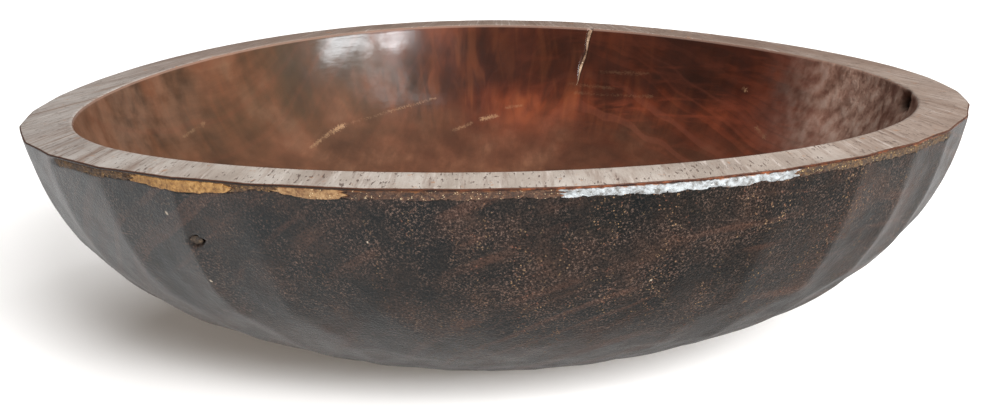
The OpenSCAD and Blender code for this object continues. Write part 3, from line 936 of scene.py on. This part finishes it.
def crust(name, dark, middle, pale, grain, speck, speck_share, roughness=0.8, relief=0.5,
          rust=0.0):
    """Granular filler: lumps of three tones, specks of a fourth, and grime along its borders."""
    look = Look(name)
    lumps = look.noise(grain * 2.2, 4.0, 0.7)
    look.colour = look.ramp(lumps, (0.34, dark), (0.5, middle), (0.68, pale))
    drift = look.noise(14.0, 3.0, 0.6)
    look.paint(dark, look.span(drift, 0.52, 0.72, 0.0, 0.55))
    border = look.attribute("border")
    wander = look.math("SUBTRACT", look.noise(2.6, 3.0, 0.6), 0.5)
    border = look.affine(wander, 1.5, border)
    rusty = (0.075 + rust, 0.032 + rust / 4, 0.013)
    grime = look.ramp(look.noise(6.0, 2.0), (0.42, (0.018, 0.009, 0.006)), (0.62, rusty))
    look.paint(grime, look.span(border, 0.32, 0.72, 0.0, 0.9))
    picked = look.span(look.noise(grain * 1.6, 1.0), 0.60 - speck_share, 0.68 - speck_share)
    bright = look.product(look.span(look.cells(grain), 0.40, 0.2), picked)
    look.paint(speck, bright, 0.85)
    height = look.math("ADD", look.product(lumps, 0.6), look.product(bright, 0.4))
    normal = look.bump(height, relief, 0.9)
    normal = look.bump(look.noise(grain * 0.5, 3.0, 0.65), relief * 0.3, 0.8, normal)
    rough = look.affine(lumps, 0.2, roughness - 0.1, clamp=True)
    return look.finish(rough, normal)


def knot_wood():
    look = Look("knot_wood")
    lumps = look.noise(1.6, 4.0, 0.7)
    look.colour = look.ramp(lumps, (0.35, (0.008, 0.0055, 0.0045)),
                            (0.52, (0.032, 0.02, 0.012)), (0.70, (0.09, 0.058, 0.032)))
    normal = look.bump(lumps, 0.7, 1.0)
    rough = look.affine(lumps, 0.25, 0.6)
    return look.finish(rough, normal)


# ---------------------------------------------------------------- build the bowl
bowl_wood(outside_wood(), rim_wood(), inside_wood())

ochre = crust("ochre_filler", (0.085, 0.036, 0.01), (0.205, 0.105, 0.031), (0.29, 0.168, 0.063),
              0.9, (0.34, 0.22, 0.095), 0.04, relief=0.25, rust=0.03)
tan = crust("tan_filler", (0.08, 0.036, 0.014), (0.165, 0.092, 0.04), (0.24, 0.15, 0.075),
            0.9, (0.38, 0.29, 0.16), 0.05, relief=0.3, rust=0.03)
grit_left = crust("grit_left", (0.014, 0.008, 0.005), (0.048, 0.025, 0.012), (0.12, 0.068, 0.027),
                  0.8, (0.33, 0.205, 0.08), 0.06)
grit_centre = crust("grit_centre", (0.012, 0.007, 0.005), (0.036, 0.017, 0.01),
                    (0.085, 0.045, 0.024), 0.9, (0.34, 0.25, 0.15), 0.07, rust=0.02)
grit_right = crust("grit_right", (0.01, 0.006, 0.004), (0.034, 0.018, 0.009),
                   (0.085, 0.048, 0.02), 0.8, (0.36, 0.25, 0.11), 0.09, rust=0.05)
white = crust("white_filler", (0.065, 0.06, 0.054), (0.185, 0.194, 0.198), (0.275, 0.298, 0.308),
              1.3, (0.38, 0.405, 0.412), 0.05, relief=0.5, rust=0.08)

# node, slot, material, from, to, how proud, lump height and size, all lengths in mm
FILLERS = (
    ("edge_filler_grit_left", "grit_filler", grit_left, 212.0, 228.6, 0.10, 0.30, 1.6),
    ("edge_filler_ochre_left", "ochre_filler", ochre, 228.6, 242.3, 0.12, 0.12, 3.0),
    ("edge_filler_grit_seam", "grit_filler", grit_left, 242.3, 247.5, 0.05, 0.25, 1.6),
    ("edge_filler_ochre_centre", "ochre_filler", tan, 247.5, 255.5, 0.10, 0.16, 2.4),
    ("edge_filler_grit_centre", "grit_filler", grit_centre, 255.5, 276.3, 0.12, 0.32, 1.8),
    ("edge_filler_white", "white_filler", white, 276.3, 300.6, 0.22, 0.45, 2.1),
    ("edge_filler_grit_right", "grit_filler", grit_right, 300.6, 334.0, 0.12, 0.34, 1.8),
)
for seed, (node, slot, material, from_deg, to_deg, proud, lump, lump_size) in enumerate(FILLERS):
    edge_filler(node, material, from_deg, to_deg, proud, lump, lump_size, 100 + 10 * seed)

putty = crust("crack_putty", (0.045, 0.022, 0.013), (0.15, 0.092, 0.058),
              (0.3, 0.215, 0.15), 1.6, (0.42, 0.33, 0.24), 0.03, roughness=0.7, relief=0.3)
crack_putty(putty)
knot = knot_wood()
knot_core("wall_knot_core", "wall_knot", knot, wall_surface,
          lambda y: WALL_KNOT_T + y / WALL_CLIMB,
          WALL_KNOT_DEG - 0.25, RIM_R, (3.6, 2.8, 1.1), 1.4, 81)
knot_core("end_knot_core", "end_knot", knot, inside_surface,
          lambda y: (END_KNOT_DROP + y) / INNER_FALL,
          END_KNOT_DEG, MOUTH_R, (8.0, 3.6, 2.2), 4.2, 91)


# ---------------------------------------------------------------- floor, light and camera
FLOOR_HALF = 12.0
FLOOR_GLOW = 0.20
GLOW_COLOUR = (0.86, 0.75, 0.65, 1.0)
CAMERA_BACK = 0.949
CAMERA_UP = 0.289
CAMERA_ROLL_DEG = -1.09
CAMERA_LENS_MM = 67.6
CAMERA_SHIFT = (-0.002, 0.0077)


def white_floor():
    mesh = bpy.data.meshes.new("floor")
    signs = ((-1, -1), (1, -1), (1, 1), (-1, 1))
    corners = [(x * FLOOR_HALF, y * FLOOR_HALF, 0) for x, y in signs]
    mesh.from_pydata(corners, [], [(0, 1, 2, 3)])
    floor = bpy.data.objects.new("floor", mesh)
    bpy.context.collection.objects.link(floor)
    look = Look("floor_paper")
    grain = look.noise(900.0, 2.0)
    look.colour = look.ramp(grain, (0.3, (0.80, 0.80, 0.80)), (0.7, (0.83, 0.83, 0.83)))
    # Lit a little from beneath, like a light table
    look.bsdf.inputs["Emission Color"].default_value = GLOW_COLOUR
    look.bsdf.inputs["Emission Strength"].default_value = FLOOR_GLOW
    mesh.materials.append(look.finish(0.75, None, Specular_IOR_Level=0.1))


def soft_light(name, azimuth_deg, elevation_deg, distance, width, height, watts,
               colour=(1, 1, 1), mirrored=False, lights_up=True):
    """A rectangular lamp that faces the bowl. Only a mirrored one shows in glossy surfaces."""
    data = bpy.data.lights.new(name, "AREA")
    data.shape = "RECTANGLE"
    data.size, data.size_y = width, height
    data.energy = watts
    data.color = colour
    lamp = bpy.data.objects.new(name, data)
    bpy.context.collection.objects.link(lamp)
    lamp.visible_glossy = mirrored
    lamp.visible_diffuse = lights_up
    target = Vector((0, 0, 0.09))
    azimuth, elevation = math.radians(azimuth_deg), math.radians(elevation_deg)
    flat = math.cos(elevation)
    away = Vector((flat * math.cos(azimuth), flat * math.sin(azimuth), math.sin(elevation)))
    lamp.location = target + away * distance
    lamp.rotation_euler = away.to_track_quat("Z", "Y").to_euler()


def studio_world(strength):
    world = bpy.data.worlds.new("studio")
    bpy.context.scene.world = world
    world.use_nodes = True
    background = world.node_tree.nodes["Background"]
    background.inputs["Color"].default_value = (1.0, 1.0, 1.0, 1.0)
    background.inputs["Strength"].default_value = strength


def camera_at_the_front():
    data = bpy.data.cameras.new("camera")
    data.lens = CAMERA_LENS_MM
    data.sensor_width = 36.0
    data.shift_x, data.shift_y = CAMERA_SHIFT
    camera = bpy.data.objects.new("camera", data)
    bpy.context.collection.objects.link(camera)
    place = Vector((0, -CAMERA_BACK, CAMERA_UP))
    target = Vector((0, 0, RIM_H * MM / 2))
    turn = (target - place).to_track_quat("-Z", "Y").to_matrix().to_4x4()
    roll = Matrix.Rotation(math.radians(CAMERA_ROLL_DEG), 4, "Z")
    camera.matrix_world = Matrix.Translation(place) @ turn @ roll
    bpy.context.scene.camera = camera


white_floor()
studio_world(0.08)
soft_light("key", -66, 25, 6.0, 3.0, 1.6, 830)
soft_light("low_right", -50, 12, 6.0, 2.4, 0.9, 300)
soft_light("high_right", -5, 55, 6.0, 3.0, 3.0, 90)
soft_light("overhead", 60, 80, 5.0, 5.0, 5.0, 190)
soft_light("window_right", -41, 34.0, 2.2, 0.70, 0.36, 16, (0.93, 0.97, 1.0), True, False)
soft_light("window_left", -63, 34, 2.2, 0.36, 0.34, 10, (0.93, 0.97, 1.0), True, False)
soft_light("window_high", -52, 53, 2.2, 0.60, 0.80, 4.5, (0.93, 0.97, 1.0), True, False)
camera_at_the_front()
bpy.context.scene.view_settings.view_transform = "Standard"
